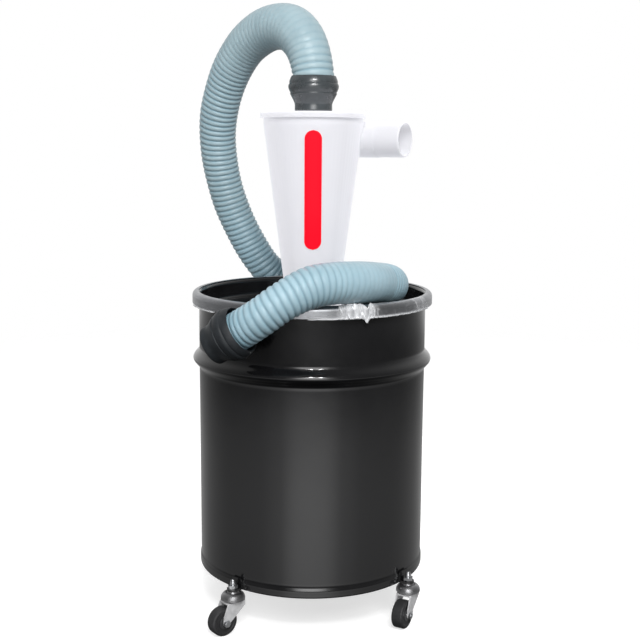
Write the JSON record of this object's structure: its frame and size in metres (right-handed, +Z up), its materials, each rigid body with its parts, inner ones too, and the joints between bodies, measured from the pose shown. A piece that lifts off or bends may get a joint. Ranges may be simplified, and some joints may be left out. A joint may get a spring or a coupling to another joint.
{
  "type": "dust collector",
  "caption": "Wheeled workshop dust collector: steel drum with recessed lid and lever-lock band, translucent cyclone on top, and a corrugated suction hose with rubber cuffs.",
  "frame": {"origin": "centre of the flat underside of the drum's base plate, on the drum's axis", "axes": "+Z up along the drum's axis, -Y to the front, where the label faces; +X to the right, where the inlet stub points"},
  "size_m": [0.3543, 0.4773, 0.8766],
  "materials": {
    "drum_paint": "gloss black enamel",
    "lid_paint": "gloss black enamel",
    "band_steel": "zinc-plated steel, satin",
    "zinc": "bright zinc plate",
    "lug_steel": "black enamel over weld",
    "frosted_plastic": "frosted translucent polypropylene",
    "film": "crumpled clear polythene film",
    "hose_plastic": "light blue-grey flexible plastic, satin",
    "cuff_rubber": "dark grey moulded rubber",
    "label_red": "plain red vinyl",
    "seal_rubber": "black rubber",
    "tyre_rubber": "black rubber tread",
    "hub_plastic": "black nylon"
  },
  "bodies": {
    "drum": {"drum_shell": "drum_paint", "drum_base": "drum_paint", "liner_bag": "film", "castor_lugs": "lug_steel", "castor_stems": "zinc", "castor_nuts": "zinc", "castor_heads": "zinc", "castor_balls": "zinc"},
    "lid_unit": {"lid": "lid_paint", "lid_gasket": "seal_rubber", "closing_band": "band_steel", "lever_bracket": "band_steel", "catch_bracket": "band_steel", "lever_pin": "zinc", "cyclone_body": "frosted_plastic", "cyclone_cap": "frosted_plastic", "flange_gasket": "seal_rubber", "flange_bolts": "zinc", "flange_washers": "zinc", "flange_nuts": "zinc", "label": "label_red", "hose": "hose_plastic"},
    "lever": {"clamp_lever": "band_steel", "link_pin": "zinc"},
    "link": {"lever_link": "band_steel"},
    "upper_cuff": {"upper_cuff": "cuff_rubber"},
    "free_cuff": {"free_cuff": "cuff_rubber"},
    "swivel_front_left": {"fork_front_left": "zinc", "axle_front_left": "zinc"},
    "wheel_front_left": {"hub_front_left": "hub_plastic", "tyre_front_left": "tyre_rubber"},
    "swivel_front_right": {"fork_front_right": "zinc", "axle_front_right": "zinc"},
    "wheel_front_right": {"hub_front_right": "hub_plastic", "tyre_front_right": "tyre_rubber"},
    "swivel_back_right": {"fork_back_right": "zinc", "axle_back_right": "zinc"},
    "wheel_back_right": {"hub_back_right": "hub_plastic", "tyre_back_right": "tyre_rubber"},
    "swivel_back_left": {"fork_back_left": "zinc", "axle_back_left": "zinc"},
    "wheel_back_left": {"hub_back_left": "hub_plastic", "tyre_back_left": "tyre_rubber"}
  },
  "joints": [
    {"name": "lid_lift", "type": "slide", "parent": "drum", "child": "lid_unit", "axis": [0, 0, 1], "range_m": [0, 0.3]},
    {"name": "lever_open", "type": "hinge", "parent": "lid_unit", "child": "lever", "pos_m": [0.13529, 0.12856, 0.389], "axis": [0, 0, -1], "range_deg": [0, 140]},
    {"name": "link_swing", "type": "hinge", "parent": "lever", "child": "link", "pos_m": [0.1128, 0.14221, 0.389], "axis": [0, 0, 1], "range_deg": [0, 140]},
    {"name": "upper_cuff_turn", "type": "hinge", "parent": "lid_unit", "child": "upper_cuff", "pos_m": [0, 0, 0.6726], "axis": [0, 0, 1], "continuous": true},
    {"name": "free_cuff_turn", "type": "hinge", "parent": "lid_unit", "child": "free_cuff", "pos_m": [-0.12105, -0.17626, 0.3521], "axis": [-0.803, 0.3244, -0.5], "continuous": true},
    {"name": "swivel_front_left", "type": "hinge", "parent": "drum", "child": "swivel_front_left", "pos_m": [-0.10836, -0.13869, -0.02], "axis": [0, 0, 1], "continuous": true},
    {"name": "wheel_spin_front_left", "type": "hinge", "parent": "swivel_front_left", "child": "wheel_front_left", "pos_m": [-0.12273, -0.14952, -0.0475], "axis": [0.6018, -0.7986, 0], "continuous": true},
    {"name": "swivel_front_right", "type": "hinge", "parent": "drum", "child": "swivel_front_right", "pos_m": [0.13869, -0.10836, -0.02], "axis": [0, 0, 1], "continuous": true},
    {"name": "wheel_spin_front_right", "type": "hinge", "parent": "swivel_front_right", "child": "wheel_front_right", "pos_m": [0.12969, -0.12394, -0.0475], "axis": [0.866, -0.5, 0], "continuous": true},
    {"name": "swivel_back_right", "type": "hinge", "parent": "drum", "child": "swivel_back_right", "pos_m": [0.10836, 0.13869, -0.02], "axis": [0, 0, 1], "continuous": true},
    {"name": "wheel_spin_back_right", "type": "hinge", "parent": "swivel_back_right", "child": "wheel_back_right", "pos_m": [0.11625, 0.15487, -0.0475], "axis": [-0.8988, 0.4384, 0], "continuous": true},
    {"name": "swivel_back_left", "type": "hinge", "parent": "drum", "child": "swivel_back_left", "pos_m": [-0.13869, 0.10836, -0.02], "axis": [0, 0, 1], "continuous": true},
    {"name": "wheel_spin_back_left", "type": "hinge", "parent": "swivel_back_left", "child": "wheel_back_left", "pos_m": [-0.15538, 0.1151, -0.0475], "axis": [-0.3746, -0.9272, 0], "continuous": true}
  ],
  "couplings": [
    {"joint": "link_swing", "follows": "lever_open", "ratio": 1}
  ]
}
